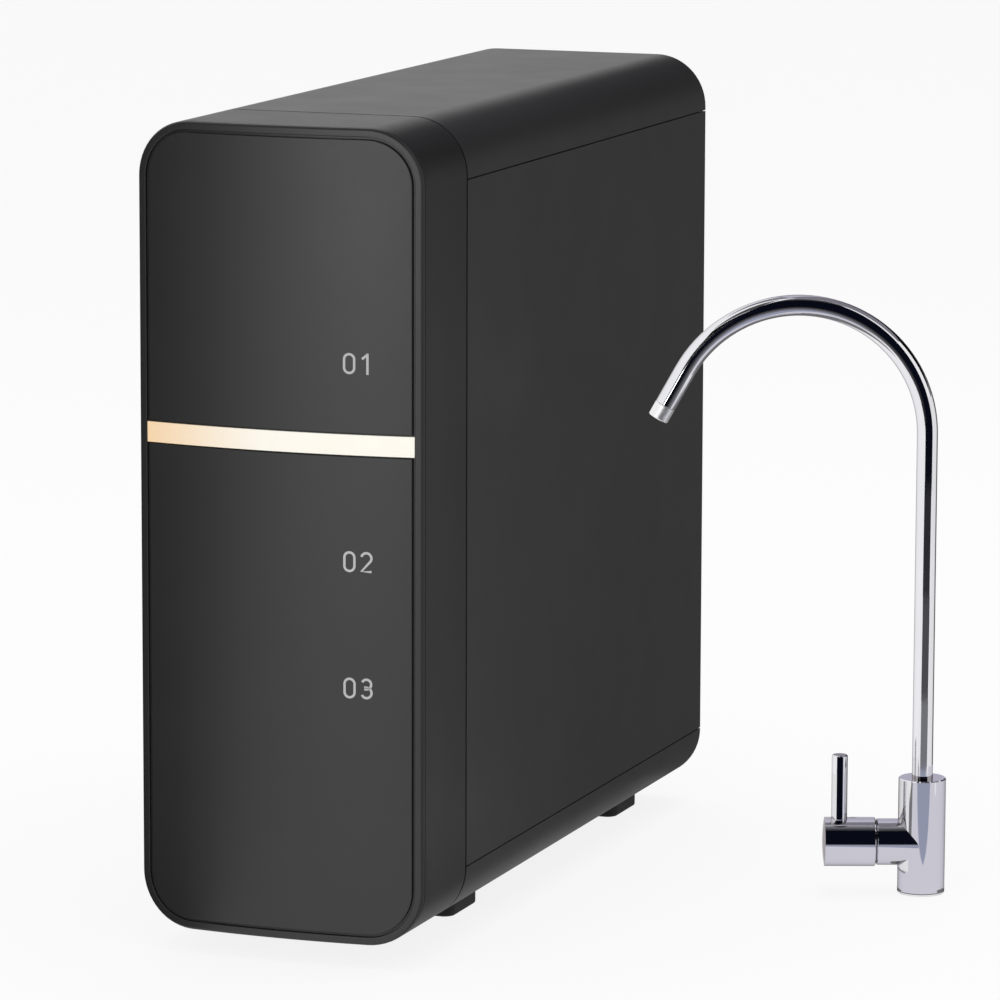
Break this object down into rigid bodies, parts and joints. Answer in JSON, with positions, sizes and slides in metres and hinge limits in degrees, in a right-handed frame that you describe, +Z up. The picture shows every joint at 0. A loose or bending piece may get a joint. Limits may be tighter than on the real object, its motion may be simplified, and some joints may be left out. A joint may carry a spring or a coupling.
{
  "type": "water purifier",
  "caption": "Slim upright water purifier with a pull-off bowed front cover, twist-in filter cartridges and rear push-in tube fittings, set with a swivelling gooseneck tap.",
  "frame": {"origin": "on the floor under the middle of the case", "axes": "+X to the right seen from the front, +Y from front to rear, +Z up"},
  "size_m": [0.3418, 0.4443, 0.416],
  "materials": {
    "case_shell": "fine-textured satin black",
    "front_panel": "smooth satin black",
    "trim": "satin champagne gold",
    "inner_plastic": "moulded grey",
    "rubber": "moulded rubber",
    "seal": "moulded rubber",
    "screw_steel": "zinc plated",
    "filter_white": "moulded white",
    "filter_fibre": "spun fibre",
    "filter_carbon": "pressed carbon",
    "fitting_plastic": "moulded white",
    "collet_plastic": "moulded blue",
    "tap_chrome": "polished chrome plate",
    "valve_brass": "turned brass",
    "valve_ceramic": "lapped ceramic"
  },
  "bodies": {
    "cabinet": {"front_frame": "case_shell", "cartridge_fascia": "inner_plastic", "cover_grommets": "rubber", "fascia_screws": "screw_steel", "top_cover": "case_shell", "base_tray": "case_shell", "left_side_panel": "case_shell", "right_side_panel": "case_shell", "rear_panel": "case_shell", "rear_screws": "screw_steel", "front_left_foot": "rubber", "front_right_foot": "rubber", "rear_left_foot": "rubber", "rear_right_foot": "rubber", "water_manifold": "inner_plastic", "inlet_fitting": "fitting_plastic", "inlet_seal": "seal", "outlet_fitting": "fitting_plastic", "outlet_seal": "seal"},
    "front_cover": {"cover_carrier": "case_shell", "upper_front_panel": "front_panel", "lower_front_panel": "front_panel", "trim_strip": "trim"},
    "composite_cartridge": {"composite_housing": "filter_white", "composite_twist_cap": "filter_white", "composite_wrap": "filter_fibre", "composite_core": "filter_carbon", "composite_end_caps": "fitting_plastic", "composite_o_rings": "seal"},
    "membrane_cartridge": {"membrane_housing": "filter_white", "membrane_twist_cap": "filter_white", "membrane_bundle": "filter_fibre", "membrane_end_caps": "fitting_plastic", "membrane_o_rings": "seal"},
    "carbon_cartridge": {"carbon_housing": "filter_white", "carbon_twist_cap": "filter_white", "carbon_block": "filter_carbon", "carbon_end_caps": "fitting_plastic", "carbon_o_rings": "seal"},
    "inlet_release": {"inlet_collet": "collet_plastic"},
    "outlet_release": {"outlet_collet": "collet_plastic"},
    "tap": {"tap_body": "tap_chrome", "tap_base_seal": "rubber", "valve_cartridge": "valve_brass", "valve_fixed_disc": "valve_ceramic", "valve_seals": "seal"},
    "handle": {"handle_knob": "tap_chrome", "lever_pin": "tap_chrome", "handle_grub_screw": "screw_steel", "valve_stem": "valve_brass", "valve_moving_disc": "valve_ceramic"},
    "spout": {"spout_tube": "tap_chrome", "spout_tip": "tap_chrome", "spout_spigot": "valve_brass", "spout_o_rings": "seal", "spout_clip": "screw_steel"}
  },
  "joints": [
    {"name": "cover_pull", "type": "slide", "parent": "cabinet", "child": "front_cover", "axis": [0, -1, 0], "range_m": [0, 0.08]},
    {"name": "composite_twist", "type": "hinge", "parent": "cabinet", "child": "composite_cartridge", "pos_m": [0, 0, 0.338], "axis": [0, 1, 0], "range_deg": [0, 90]},
    {"name": "membrane_twist", "type": "hinge", "parent": "cabinet", "child": "membrane_cartridge", "pos_m": [0, 0, 0.214], "axis": [0, 1, 0], "range_deg": [0, 90]},
    {"name": "carbon_twist", "type": "hinge", "parent": "cabinet", "child": "carbon_cartridge", "pos_m": [0, 0, 0.09], "axis": [0, 1, 0], "range_deg": [0, 90]},
    {"name": "inlet_collet_press", "type": "slide", "parent": "cabinet", "child": "inlet_release", "axis": [0, -1, 0], "range_m": [0, 0.0015]},
    {"name": "outlet_collet_press", "type": "slide", "parent": "cabinet", "child": "outlet_release", "axis": [0, -1, 0], "range_m": [0, 0.0015]},
    {"name": "tap_lift", "type": "slide", "parent": "cabinet", "child": "tap", "axis": [0, 0, 1], "range_m": [0, 0.1]},
    {"name": "lever_turn", "type": "hinge", "parent": "tap", "child": "handle", "pos_m": [0.2545, 0.041, 0.0267], "axis": [0.9373, 0.3486, 0], "range_deg": [0, 90]},
    {"name": "spout_swivel", "type": "hinge", "parent": "tap", "child": "spout", "pos_m": [0.2545, 0.041, 0], "axis": [0, 0, 1], "continuous": true}
  ]
}
